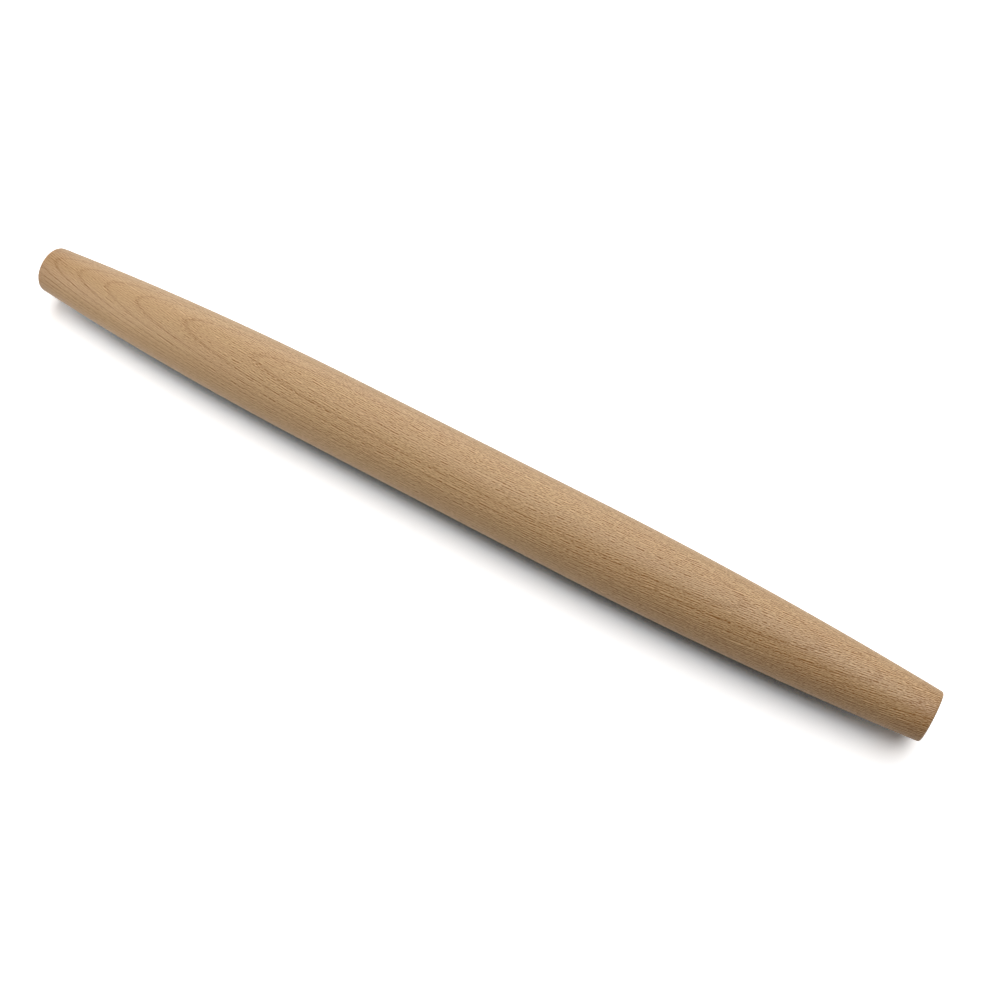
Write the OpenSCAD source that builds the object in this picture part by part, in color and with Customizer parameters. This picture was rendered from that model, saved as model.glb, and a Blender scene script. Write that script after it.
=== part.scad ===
// French rolling pin: one solid of beech, turned between centres, with no handles.
// The axis runs along X, and the origin is on it, halfway between the two end faces.
// The pin lies on its belly: +Z is up, and the worktop is half a belly's diameter below.

/* [Pin] */
// Length of the pin, from one end face to the other
pin_length = 505; // [400:5:560]
// Diameter of the belly, the thickest part
belly_d = 40; // [34:1:50]
// Length of the straight belly between the two tapers
belly_length = 140; // [60:5:240]

/* [Ends] */
// Diameter that a taper has come down to at the end face, before its edge is eased
end_d = 25; // [18:1:30]
// Radius that eases the edge of each end face
edge_r = 1.5; // [0.5:0.25:4]

/* [Hidden] */

// Sides of the turned surface, of the large circle that a taper follows and of the eased edge
turned_sides = 180;
taper_sides = 1800;
edge_sides = 48;

// Half sizes, from the middle of the pin outwards
half_length = pin_length / 2;
half_belly = belly_length / 2;
belly_r = belly_d / 2;
end_r = end_d / 2;

// A taper is one long arc that leaves the belly without a corner.
// It loses taper_drop of radius over taper_run, and its centre lies level with the belly's end.
taper_run = half_length - half_belly;
taper_drop = belly_r - end_r;
taper_r = round((taper_run * taper_run + taper_drop * taper_drop) / (2 * taper_drop));
taper_centre = belly_r - taper_r;

// The eased edge is an arc of radius edge_r that ends in the flat of the end face.
// Where it starts, it stands edge_lap proud of the taper, so that the two arcs cross cleanly.
edge_lap = 0.02;
edge_start = half_length - edge_r;
edge_run = edge_start - half_belly;
taper_r_at_edge = taper_centre + sqrt(taper_r * taper_r - edge_run * edge_run);
edge_centre = taper_r_at_edge + edge_lap - edge_r;

// The outlines are drawn upright: x is the distance from the axis, y the place along the pin

// Straight belly, across both halves
module belly_outline() {
    translate([0, -half_belly])
        square([belly_r, belly_length]);
}

// Everything under the taper's long arc, from the belly to the end face
module taper_outline() {
    intersection() {
        translate([taper_centre, half_belly])
            circle(r = taper_r, $fn = taper_sides);
        translate([0, half_belly])
            square([belly_r, taper_run]);
    }
}

// What the easing leaves: the taper up to edge_start, the core behind the flat, and the arc
module eased_outline() {
    translate([0, half_belly])
        square([belly_r, edge_run]);
    translate([0, half_belly])
        square([edge_centre, taper_run]);
    translate([edge_centre, edge_start])
        circle(r = edge_r, $fn = edge_sides);
}

// The whole outline on one side of the axis
module pin_outline() {
    belly_outline();
    for (flip = [0, 1])
        mirror([0, flip])
            intersection() {
                taper_outline();
                eased_outline();
            }
}

// The turned pin, laid down along X
module rolling_pin() {
    color("burlywood")
        rotate([0, 90, 0])
            rotate_extrude($fn = turned_sides)
                pin_outline();
}

rolling_pin();
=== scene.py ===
import math

import bmesh
import bpy
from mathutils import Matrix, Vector


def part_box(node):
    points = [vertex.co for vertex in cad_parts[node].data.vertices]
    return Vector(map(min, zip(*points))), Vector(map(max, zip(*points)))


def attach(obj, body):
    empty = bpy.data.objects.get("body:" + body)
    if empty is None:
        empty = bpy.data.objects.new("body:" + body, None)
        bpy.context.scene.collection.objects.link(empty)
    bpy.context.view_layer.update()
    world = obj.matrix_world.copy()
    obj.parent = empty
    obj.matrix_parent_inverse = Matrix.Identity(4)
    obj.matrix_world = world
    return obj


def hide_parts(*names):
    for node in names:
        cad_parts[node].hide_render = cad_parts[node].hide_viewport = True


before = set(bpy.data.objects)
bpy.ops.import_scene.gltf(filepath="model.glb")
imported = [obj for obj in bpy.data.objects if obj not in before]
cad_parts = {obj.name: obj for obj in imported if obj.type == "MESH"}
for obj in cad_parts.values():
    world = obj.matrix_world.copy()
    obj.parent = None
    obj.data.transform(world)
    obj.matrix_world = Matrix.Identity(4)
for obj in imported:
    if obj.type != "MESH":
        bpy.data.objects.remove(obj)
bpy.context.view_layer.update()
print("frame loaded:", sorted(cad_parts))

mm = 0.001  # one millimetre, in metres


# Shader maths

class Socket:
    # one socket of a material; sums on it add Math nodes
    def __init__(self, graph, link):
        self.graph, self.link = graph, link

    def math(self, operation, *others, clamp=False):
        return self.graph.node("ShaderNodeMath", {"operation": operation, "use_clamp": clamp},
                               dict(enumerate([self, *others])))

    def __add__(self, other):
        return self.math("ADD", other)

    def __sub__(self, other):
        return self.math("SUBTRACT", other)

    def __rsub__(self, other):
        return self.graph.node("ShaderNodeMath", {"operation": "SUBTRACT"}, {0: other, 1: self})

    def __mul__(self, other):
        return self.math("MULTIPLY", other)

    def __truediv__(self, other):
        return self.math("DIVIDE", other)

    def __rtruediv__(self, other):
        return self.graph.node("ShaderNodeMath", {"operation": "DIVIDE"}, {0: other, 1: self})

    __radd__, __rmul__ = __add__, __mul__

    def clamped(self):
        return self.math("ADD", 0.0, clamp=True)

    def ramp(self, start, end):
        # 0 up to the start, 1 from the end onwards
        return ((self - start) / (end - start)).clamped()

    def swing(self, reach):
        # a noise of 0 to 1 as a shift of up to this much either way
        return (self - 0.5) * (2 * reach)


class Graph:
    # the nodes of one material
    def __init__(self, tree):
        self.tree = tree
        tree.nodes.clear()

    def node(self, kind, settings=None, inputs=None, out=0):
        # settings come first, because some of them change which sockets there are
        made = self.tree.nodes.new(kind)
        for name, value in (settings or {}).items():
            setattr(made, name, value)
        for name, value in (inputs or {}).items():
            if isinstance(value, Socket):
                self.tree.links.new(value.link, made.inputs[name])
            else:
                made.inputs[name].default_value = value
        return Socket(self, made.outputs[out]) if made.outputs else None

    def point(self, x, y, z):
        return self.node("ShaderNodeCombineXYZ", None, {0: x, 1: y, 2: z})

    def parts(self, vector):
        split = self.node("ShaderNodeSeparateXYZ", None, {0: vector})
        return [Socket(self, part) for part in split.link.node.outputs]

    def mixColour(self, share, first, second, blend="MIX"):
        return self.node("ShaderNodeMix", {"data_type": "RGBA", "blend_type": blend},
                         {0: share, 6: first, 7: second}, out=2)

    def noise(self, place, detail, rough=0.5):
        return self.node("ShaderNodeTexNoise", {"noise_dimensions": "3D"},
                         {"Vector": place, "Scale": 1.0, "Detail": detail, "Roughness": rough})


def rgb(red, green, blue):
    # a colour as it reads on screen, 0 to 255, in Blender's linear light by the usual curve
    def linear(value):
        value = value / 255
        return value / 12.92 if value <= 0.04045 else ((value + 0.055) / 1.055) ** 2.4
    return linear(red), linear(green), linear(blue), 1.0


# Beech, cut from a log whose heart runs under the pin

# left is the end towards -X and right the one towards +X
# a patch gives the size of a noise's patches, first along the pin and then across it
beech = {
    # growth layers in the log
    "heartDepth": 85 * mm,      # from the pin's axis down to the heart of the log
    "heartSide": 6 * mm,        # and how far it lies towards +Y
    "layerFall": 0.007,         # how fast the layers fall towards the right
    "layerBend": 0.05,          # and bend up towards both ends, per metre
    "grainPatch": (55 * mm, 30 * mm),
    "grainWave": 0.9 * mm,      # how far the grain strays sideways

    # growth rings, each of which ends in a dark line
    "ringTurns": (13.95 * mm, 18.37 * mm),  # above the axis, where the rings turn wider
    "ringWidths": (1.75 * mm, 2.21 * mm, 3.4 * mm),     # below the first, between them and above
    "ringPatch": (60 * mm, 20 * mm),
    "ringWander": 0.125 * mm,   # how far they stray from patch to patch
    "ringFray": 0.28 * mm,      # and from fibre to fibre
    "ringDepth": 0.35,          # how deep the dark line is
    "ringFaint": 0.10,          # share of that depth that is gone away from the left end
    "ringLine": 0.07,           # share of a ring that the line takes on a surface along the layers
    "ringCut": 0.36,            # and how much more on one across them

    # tones, from pale at a depth of 0 to deep at 1
    "pale": rgb(214, 179, 133),
    "deep": rgb(129, 82, 24),
    "ground": 0.395,            # depth of the plain wood
    "tonePatch": (110 * mm, 3 * mm, 5 * mm),    # along the grain, through the rings and round them
    "toneDrift": 0.07,
    "rightSpan": (10 * mm, 210 * mm),       # places along the pin between which the wood deepens
    "rightDepth": 0.12,
    "leftSpan": (-195 * mm, -235 * mm),     # and between which it does so towards the left
    "leftDepth": 0.09,
    "tipSpan": (234 * mm, 250 * mm),        # distances from the middle between which both tips deepen
    "tipDepth": 0.14,
    "sideShadeReach": 20 * mm,      # painted shade and light: the side this far towards -Y, away from the lamps, is deeper than the middle, and the side as far towards +Y paler
    "sideShadeDepth": 0.03,
    "sideShadeRight": 0.14,         # and this much more so at the right end

    # a rosy tint over some patches
    "pink": rgb(192, 148, 112),
    "pinkPatch": (30 * mm, 6 * mm),
    "pinkGain": 2.4,            # how sharply a patch ends
    "pinkLoss": 0.85,           # the higher, the fewer the patches
    "pinkShare": 0.25,

    # how strongly the grain shows on the pin's side
    "crispLeft": 0.52,
    "crispSpan": (-190 * mm, -60 * mm),     # places along the pin between which it grows stronger
    "crispGain": 0.56,
    "crispRight": 0.08,         # how much of it goes again towards the right
    "crispAcross": (-2 * mm, 6 * mm),       # places across it between which it does so towards +Y
    "crispBack": 0.5,

    # fine lines, side by side round the pin, each in its own lane
    "laneWidth": 1.05 * mm,
    "lanePatch": (40 * mm, 1.9 * mm),
    "laneShift": 0.6 * mm,      # how uneven the lanes are
    "lineBend": -0.42,          # below 0 the lines bend round towards +Y at both ends, per metre
    "lineWave": 1.6 * mm,       # how far they stray with the grain
    "curlPatch": (14 * mm, 3.5 * mm),
    "lineCurl": 0.4 * mm,       # and how far from one another
    "lineFade": 2 * mm,         # how soon a line grows stronger or fainter
    "lineLeap": 1.7,            # from lane to lane in the noise of their strength
    "lineGain": 4.0,            # how strongly the lines differ
    "lineLoss": 1.7,            # the higher, the more of them are pale instead of dark
    "lineDepth": 1.1,

    # short flecks, a row of them in each lane
    "fleckApart": 3.0 * mm,     # from one to the next
    "fleckStart": 9,            # how many such steps the rows are shifted along, at most
    "fleckStray": 5.0,          # how unevenly they follow one another
    "fleckHalf": (0.46, 0.28),  # half a fleck, as a share of the step along and of the lane across
    "fleckJitter": (0.45, 0.2),             # how far it moves off its place, in the same shares
    "fleckShort": 0.5,          # the shortest, as a share of the longest
    "fleckFaint": 0.8,          # and the faintest, of the deepest
    "fleckEdge": 2.0,           # how sharply a fleck ends
    "fleckMean": 0.2,           # taken off, so that flecks leave the tone of the wood as it is
    "fleckDepth": 0.32,

    # fibres
    "fibreSize": (1.6 * mm, 0.38 * mm),     # along and across
    "fibreDepth": 0.4,

    # end faces
    "endFacing": (0.75, 0.95),  # how squarely a surface looks along the pin where end grain sets in
    "raySize": (0.55 * mm, 6 * mm),         # of a ray, round the log's heart and out from it
    "rayDepth": 0.275,
    "poreSize": 0.35 * mm,
    "poreDepth": 0.4,
    "endLight": 0.80,           # share of its colour's light that end grain keeps

    # third place in the noise, where each pattern finds its own
    "lanePlace": 8.5,
    "linePlace": 3.5,
    "rayPlace": 2.5,
    "porePlace": 4.5,

    # finish: bare wood, sanded
    "roughness": 0.48,
    "roughFibre": 0.08,         # how much rougher or smoother a fibre is
    "roughFleck": 0.12,         # how much rougher a fleck is
    "roughEnd": 0.2,            # and end grain
    "gloss": 0.5,
    "sheen": 0.30,              # the fine nap that sanding leaves
    "sheenRoughness": 0.4,
    "reliefStrength": 0.35,
    "reliefHeight": 0.06 * mm,
    "reliefLine": 0.5,          # how far a line, a fleck and a ring's dark line sink in beside a fibre
    "reliefFleck": 0.5,
    "reliefRing": 0.3,
}


def grainLines(g, look, along, across):
    # lanes side by side along the grain
    patchAlong, patchAcross = look["lanePatch"]
    uneven = g.noise(g.point(across / patchAcross, along / patchAlong, look["lanePlace"]), detail=0.0)
    lane = (across + uneven.swing(look["laneShift"])) / look["laneWidth"]
    number = lane.math("FLOOR")

    # a line in the middle of each, dark or pale, which fades in and out
    strength = g.noise(g.point(along / look["lineFade"], number * look["lineLeap"], look["linePlace"]),
                       detail=0.0)
    amount = strength * look["lineGain"] - look["lineLoss"]
    amount = amount.math("MINIMUM", 1.0).math("MAXIMUM", -1.0)
    line = -0.5 * (lane * (2 * math.pi)).math("COSINE") * amount

    # and a row of flecks, each with its own place, length and depth
    start = g.node("ShaderNodeTexWhiteNoise", {"noise_dimensions": "1D"}, {"W": number}, out="Value")
    step = along / look["fleckApart"] + start * look["fleckStart"] + strength * look["fleckStray"]
    count = step.math("FLOOR")
    chance = g.parts(g.node("ShaderNodeTexWhiteNoise", {"noise_dimensions": "2D"},
                            {"Vector": g.point(number, count, 0.0)}, out="Color"))
    jitterAlong, jitterAcross = look["fleckJitter"]
    halfAlong, halfAcross = look["fleckHalf"]
    short, faint = look["fleckShort"], look["fleckFaint"]
    aside = (lane - number - 0.5 - chance[0].swing(jitterAcross)) / halfAcross
    ahead = step - count - 0.5 - chance[1].swing(jitterAlong)
    ahead = ahead / ((short + (1 - short) * chance[2]) * halfAlong)
    far = (aside * aside + ahead * ahead).math("SQRT")
    fleck = ((1 - far) * look["fleckEdge"]).clamped() * (faint + (1 - faint) * chance[2])
    return line, fleck


def growthRings(g, look, x, side, height, out, fray):
    # how far a spot is through its ring, counted from where the rings first turn wider
    first, second = look["ringTurns"]
    inner, middle, outer = look["ringWidths"]
    between = second - first
    above = out - look["heartDepth"] - first + fray
    ring = (above.math("MINIMUM", 0.0) / inner
            + above.math("MAXIMUM", 0.0).math("MINIMUM", between) / middle
            + (above - between).math("MAXIMUM", 0.0) / outer)
    ring = ring.math("FRACT")

    # the dark line takes more of a ring where the surface cuts the layers, and so keeps its width there
    tilt = look["layerFall"] - 2 * look["layerBend"] * x
    outward = g.node("ShaderNodeVectorMath", {"operation": "NORMALIZE"},
                     {0: g.point(height * tilt, side, height)})
    level = g.node("ShaderNodeVectorMath", {"operation": "DOT_PRODUCT"},
                   {0: outward, 1: g.node("ShaderNodeTexCoord", out="Normal")}, out="Value")
    slope = (1 - level * level).math("MAXIMUM", 0.0).math("SQRT")
    share = look["ringLine"] + look["ringCut"] * slope
    return ((ring - 1) / share + 1).clamped(), share


def endGrain(g, look, y, z, out, around):
    # pores seen end on, and the rays that run out from the heart
    rayWidth, rayLength = look["raySize"]
    ray = g.noise(g.point(around / rayWidth, out / rayLength, look["rayPlace"]), detail=1.0)
    pore = g.noise(g.point(y / look["poreSize"], z / look["poreSize"], look["porePlace"]), detail=1.0)
    return ray.swing(look["rayDepth"]) + pore.swing(look["poreDepth"])


def makeBeech():
    look = beech
    material = bpy.data.materials.new("beech")
    material.use_nodes = True
    g = Graph(material.node_tree)
    x, y, z = g.parts(g.node("ShaderNodeTexCoord", out="Object"))

    def patches(name, detail, rough=0.5):
        along, across = look[name]
        return g.noise(g.point(x / along, y / across, z / across), detail, rough)

    # place in the log: sideways from its heart and above it, then out from it and round it
    stray = patches("grainPatch", detail=1.0)
    side = y - look["heartSide"] + stray.swing(look["grainWave"])
    height = z + look["heartDepth"] + x * look["layerFall"] - x * x * look["layerBend"]
    drift = patches("ringPatch", detail=4.0, rough=0.45)
    out = (side * side + height * height).math("SQRT") + drift.swing(look["ringWander"])
    around = side.math("ARCTAN2", height) * look["heartDepth"]

    # fibres, lines and flecks run along the pin, side by side round its girth
    curl = patches("curlPatch", detail=1.0)
    girth = y.math("ARCTAN2", z) * (y * y + z * z).math("SQRT")
    girth = girth + stray.swing(look["lineWave"]) + curl.swing(look["lineCurl"])
    girth = girth + x * x * look["lineBend"]
    fibreLength, fibreWidth = look["fibreSize"]
    fibre = g.noise(g.point(x / fibreLength, girth / fibreWidth, 0.0), detail=0.0)
    line, fleck = grainLines(g, look, x, girth)
    alongGrain = (look["lineDepth"] * line
                  + look["fleckDepth"] * (fleck - look["fleckMean"])
                  + fibre.swing(look["fibreDepth"]))

    # late is 1 in the wood that ends a ring
    late, share = growthRings(g, look, x, side, height, out, fibre.swing(look["ringFray"]))
    acrossGrain = endGrain(g, look, y, z, out, around)
    facing = g.parts(g.node("ShaderNodeTexCoord", out="Normal"))[0]
    endOn = facing.math("ABSOLUTE").ramp(*look["endFacing"])

    # one depth of tone gathers them all, so that what is darker is also richer
    inward = x.ramp(*look["crispSpan"])
    rightward = x.ramp(*look["rightSpan"])
    leftward = x.ramp(*look["leftSpan"])
    endward = x.math("ABSOLUTE").ramp(*look["tipSpan"])
    crisp = look["crispLeft"] + look["crispGain"] * inward - look["crispRight"] * rightward
    crisp = crisp * (1 + look["crispBack"] * y.ramp(*look["crispAcross"]))
    toneAlong, toneOut, toneAround = look["tonePatch"]
    broad = g.noise(g.point(x / toneAlong, out / toneOut, around / toneAround), detail=2.0)
    rings = look["ringDepth"] * (1 - look["ringFaint"] * inward) * (late - 0.5 * share)
    depth = look["ground"] + rings + broad.swing(look["toneDrift"])
    depth = depth + endward * look["tipDepth"] + leftward * look["leftDepth"]
    depth = depth + rightward * look["rightDepth"]
    # painted shade towards -Y and painted light towards +Y, more of it at the right end
    sideShade = look["sideShadeDepth"] + rightward * look["sideShadeRight"]
    depth = depth - sideShade * y / look["sideShadeReach"]
    depth = depth + (1 - endOn) * crisp * alongGrain + endOn * acrossGrain
    colour = g.mixColour(depth.clamped(), look["pale"], look["deep"])

    # the tint stays off the deep tones
    warm = patches("pinkPatch", detail=1.0)
    rosy = (warm * look["pinkGain"] - look["pinkLoss"]).clamped() * look["pinkShare"]
    colour = g.mixColour(rosy * (1 - depth).clamped(), colour, look["pink"])
    shade = 1 - endOn * (1 - look["endLight"])
    colour = g.node("ShaderNodeVectorMath", {"operation": "SCALE"}, {0: colour, "Scale": shade})

    rise = fibre - look["reliefLine"] * line - look["reliefFleck"] * fleck - look["reliefRing"] * late
    relief = g.node("ShaderNodeBump", None,
                    {"Strength": look["reliefStrength"], "Distance": look["reliefHeight"],
                     "Height": rise})
    roughness = (look["roughness"] + fibre.swing(look["roughFibre"])
                 + look["roughFleck"] * fleck + look["roughEnd"] * endOn)
    surface = g.node("ShaderNodeBsdfPrincipled", None,
                     {"Base Color": colour, "Roughness": roughness, "Normal": relief,
                      "Specular IOR Level": look["gloss"],
                      "Sheen Weight": look["sheen"], "Sheen Roughness": look["sheenRoughness"]})
    g.node("ShaderNodeOutputMaterial", None, {"Surface": surface})
    return material


# The turned pin

turning = {
    "sides": 192,               # round the pin
    "bellySteps": 28,           # along each stretch of the outline
    "taperSteps": 44,
    "edgeSteps": 8,
    "faceSteps": 5,             # from the edge of an end face to its centre
    "bellyHalf": 70 * mm,       # half of the straight belly
    "endRadius": 12.5 * mm,     # what a taper has come down to at its end face
    "edgeRadius": 1.5 * mm,     # easing round each end face

    # places on the texture, as shares of it
    "mapSide": 0.91,            # height of the strip that the turned side takes
    "mapMargins": (0.005, 0.003),           # shares of the strip that stay free at its ends and sides
    "mapFace": 0.039,           # radius of an end face
    "mapFaces": (0.05, 0.15),   # where the centres of the left and the right end face are
    "mapDown": 0.045,           # and how far below the top
}


def profile(halfLength, bellyRadius):
    # (place along the axis, radius) from the middle of the pin to the last ring of the end face
    bellyHalf, edge = turning["bellyHalf"], turning["edgeRadius"]
    run = halfLength - bellyHalf
    drop = bellyRadius - turning["endRadius"]
    # radius of the taper's long arc, the angle where the easing takes over, and where its centre is
    arc = (run * run + drop * drop) / (2 * drop)
    lean = math.asin((halfLength - edge - bellyHalf) / (arc - edge))
    middle = bellyRadius - arc + (arc - edge) * math.cos(lean)
    bellySteps, taperSteps = turning["bellySteps"], turning["taperSteps"]
    edgeSteps, faceSteps = turning["edgeSteps"], turning["faceSteps"]
    points = [(bellyHalf * i / bellySteps, bellyRadius) for i in range(bellySteps)]
    for i in range(taperSteps):
        angle = lean * i / taperSteps
        points.append((bellyHalf + arc * math.sin(angle), bellyRadius - arc * (1 - math.cos(angle))))
    for i in range(edgeSteps + 1):
        angle = lean + (math.pi / 2 - lean) * i / edgeSteps
        points.append((halfLength - edge + edge * math.sin(angle), middle + edge * math.cos(angle)))
    for i in range(1, faceSteps):
        points.append((halfLength, middle * (1 - i / faceSteps)))
    return points


def turnMesh(whole):
    # turns the whole outline round the axis
    sides = turning["sides"]
    mesh = bmesh.new()
    angles = [2 * math.pi * (k / sides - 0.5) for k in range(sides)]    # the first one points down
    rings = [[mesh.verts.new((x, radius * math.sin(angle), radius * math.cos(angle)))
              for angle in angles] for x, radius in whole]

    # the texture: the turned side as one strip, with the end faces beside it
    travel = [0.0]                                                      # along the outline
    for (x0, r0), (x1, r1) in zip(whole, whole[1:]):
        travel.append(travel[-1] + math.hypot(x1 - x0, r1 - r0))
    first = turning["faceSteps"] - 1                                    # the rings round the end faces
    last = len(whole) - 1 - first
    length = travel[last] - travel[first]
    uv = mesh.loops.layers.uv.new("OFBake")

    def onSide(i, k):
        endMargin, sideMargin = turning["mapMargins"]
        along = endMargin + (1 - 2 * endMargin) * (travel[i] - travel[first]) / length
        return along, turning["mapSide"] * (sideMargin + (1 - 2 * sideMargin) * k / sides)

    def onFace(end, radius, k):
        reach = turning["mapFace"] * radius / whole[first][1]
        turn = 2 * math.pi * k / sides
        return (turning["mapFaces"][end] + reach * math.cos(turn),
                1 - turning["mapDown"] + reach * math.sin(turn))

    def addFace(corners, places):
        face = mesh.faces.new(corners)
        face.smooth = True
        for loop, place in zip(face.loops, places):
            loop[uv].uv = place

    for i in range(len(whole) - 1):
        for k in range(sides):
            after = (k + 1) % sides
            corners = (rings[i][k], rings[i][after], rings[i + 1][after], rings[i + 1][k])
            steps = ((i, k), (i, k + 1), (i + 1, k + 1), (i + 1, k))
            if first <= i < last:
                places = [onSide(j, m) for j, m in steps]
            else:
                end = 0 if i < first else 1
                places = [onFace(end, whole[j][1], m) for j, m in steps]
            addFace(corners, places)
    for end, i in enumerate((0, len(whole) - 1)):
        x, radius = whole[i]
        centre = mesh.verts.new((x, 0, 0))
        for k in range(sides):
            addFace((rings[i][k], rings[i][(k + 1) % sides], centre),
                    (onFace(end, radius, k), onFace(end, radius, k + 1), onFace(end, 0.0, k)))
    bmesh.ops.recalc_face_normals(mesh, faces=mesh.faces)
    return mesh


def makePin(material):
    low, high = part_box("rolling_pin")
    half = profile(high.x, -low.z)
    mesh = turnMesh([(-x, radius) for x, radius in reversed(half[1:])] + half)
    data = bpy.data.meshes.new("turned_pin")
    mesh.to_mesh(data)
    mesh.free()
    data.materials.append(material)
    pin = bpy.data.objects.new("turned_pin", data)
    bpy.context.scene.collection.objects.link(pin)
    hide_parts("rolling_pin")
    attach(pin, "root")


# The floor, just under the pin

flooring = {
    "reach": 30.0,              # from its middle to each edge, in metres
    "colour": (0.92, 0.88, 0.79, 1.0),      # as it lights the pin
    "seen": (1.54, 1.55, 1.56, 1.0),        # as the camera sees it: white where nothing shades it
    "paintedShadeReach": 100 * mm,    # how far off the pin a spot still counts as closed in, for the painted shade
    "creaseSamples": 8,
    "paintedShadeSpan": (0.48, 0.20),             # how open a spot is where the painted shade starts and where it is deepest
    "crease": (0.10, 0.10, 0.105, 1.0),     # tone of the painted shade in the crease under the pin
    "cool": (0.50, 0.94, 1.35, 1.0),        # a painted tint that takes the warmth of the wood's bounced light out of the floor's shadow
    "coolRise": 4.0,            # the painted tint sets in as a spot opens from the crease under the pin
    "coolFall": 1.6,            # and goes again towards the open floor
}


def makeFloor():
    look = flooring
    data = bpy.data.meshes.new("floor")
    mesh = bmesh.new()
    bmesh.ops.create_grid(mesh, x_segments=1, y_segments=1, size=look["reach"])
    mesh.to_mesh(data)
    mesh.free()
    floor = bpy.data.objects.new("floor", data)
    bpy.context.scene.collection.objects.link(floor)
    floor.location.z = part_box("rolling_pin")[0].z
    material = bpy.data.materials.new("floor_white")
    material.use_nodes = True
    g = Graph(material.node_tree)
    seen = g.node("ShaderNodeLightPath", out="Is Camera Ray")
    # painted shade: the floor as the camera sees it is darkened where the pin closes it in, deepest in
    # the crease under the pin
    openness = g.node("ShaderNodeAmbientOcclusion", {"samples": look["creaseSamples"]},
                      {"Distance": look["paintedShadeReach"]}, out="AO")
    white = (1.0, 1.0, 1.0, 1.0)
    deep = g.mixColour(openness.ramp(*look["paintedShadeSpan"]), white, look["crease"])
    # painted tint over the floor's shadow, strongest part-way out from the crease
    coolShare = (look["coolRise"] * openness).clamped() * (1 - look["coolFall"] * openness).clamped()
    cool = g.mixColour(coolShare, white, look["cool"])
    shade = g.mixColour(1.0, g.mixColour(1.0, deep, cool, "MULTIPLY"), look["seen"], "MULTIPLY")
    colour = g.mixColour(seen, look["colour"], shade)
    surface = g.node("ShaderNodeBsdfDiffuse", None, {"Color": colour})
    g.node("ShaderNodeOutputMaterial", None, {"Surface": surface})
    data.materials.append(material)


# The light

# each lamp stands this far round from +X towards +Y and this high, in degrees, and is a sun unless
# it has a distance; a white surface in the middle that faces it reads as its strength
lamps = {
    "overhead": {"round": 45, "high": 75, "wide": 60, "strength": 0.72},
    "behind": {"round": 105, "high": 18, "wide": 55, "strength": 0.32},
    "left": {"round": 205, "high": 20, "away": 0.65, "size": 0.5, "strength": 0.26},
}


def makeLight():
    # the world is white where it is seen, straight or in a reflection, and lights nothing else
    world = bpy.data.worlds.new("studio")
    bpy.context.scene.world = world
    world.use_nodes = True
    g = Graph(world.node_tree)
    seen = [g.node("ShaderNodeLightPath", out=name)
            for name in ("Is Camera Ray", "Is Glossy Ray", "Is Transmission Ray")]
    white = (seen[0] + seen[1] + seen[2]).clamped()
    back = g.node("ShaderNodeBackground", None, {"Color": (1, 1, 1, 1), "Strength": white})
    g.node("ShaderNodeOutputWorld", None, {"Surface": back})

    for name, lamp in lamps.items():
        turn, rise = math.radians(lamp["round"]), math.radians(lamp["high"])
        toLamp = Vector((math.cos(turn) * math.cos(rise),
                         math.sin(turn) * math.cos(rise),
                         math.sin(rise)))
        if "away" in lamp:      # a round softbox near the pin
            light = bpy.data.lights.new(name, "AREA")
            light.shape, light.size = "DISK", lamp["size"]
            light.energy = lamp["strength"] * math.pi ** 2 * lamp["away"] ** 2
        else:
            light = bpy.data.lights.new(name, "SUN")
            light.angle = math.radians(lamp["wide"])
            light.energy = lamp["strength"] * math.pi
        stand = bpy.data.objects.new(name, light)
        stand.location = toLamp * lamp.get("away", 1.0)
        stand.rotation_euler = toLamp.to_track_quat("Z", "Y").to_euler()
        bpy.context.scene.collection.objects.link(stand)


# The camera

view = {
    "azimuth": 30.33,           # degrees round from straight in front, towards +X
    "elevation": 60.88,         # and up
    "distance": 0.6781,
    "target": (0.02692, 0.00158, -0.00682),
    "lens": 49.17,              # focal length in millimetres, as Blender takes it
    "clipStart": 10 * mm,
}


def makeCamera():
    azimuth, elevation = math.radians(view["azimuth"]), math.radians(view["elevation"])
    back = Vector((math.sin(azimuth) * math.cos(elevation),
                   -math.cos(azimuth) * math.cos(elevation),
                   math.sin(elevation)))
    data = bpy.data.cameras.new("camera")
    data.lens = view["lens"]
    data.clip_start = view["clipStart"]
    camera = bpy.data.objects.new("camera", data)
    camera.location = Vector(view["target"]) + back * view["distance"]
    camera.rotation_euler = back.to_track_quat("Z", "Y").to_euler()
    bpy.context.scene.collection.objects.link(camera)
    bpy.context.scene.camera = camera


wood = makeBeech()
print("beech mixed")
makePin(wood)
print("pin turned")
makeFloor()
makeLight()
makeCamera()
bpy.context.scene.view_settings.view_transform = "Standard"
print("studio set")
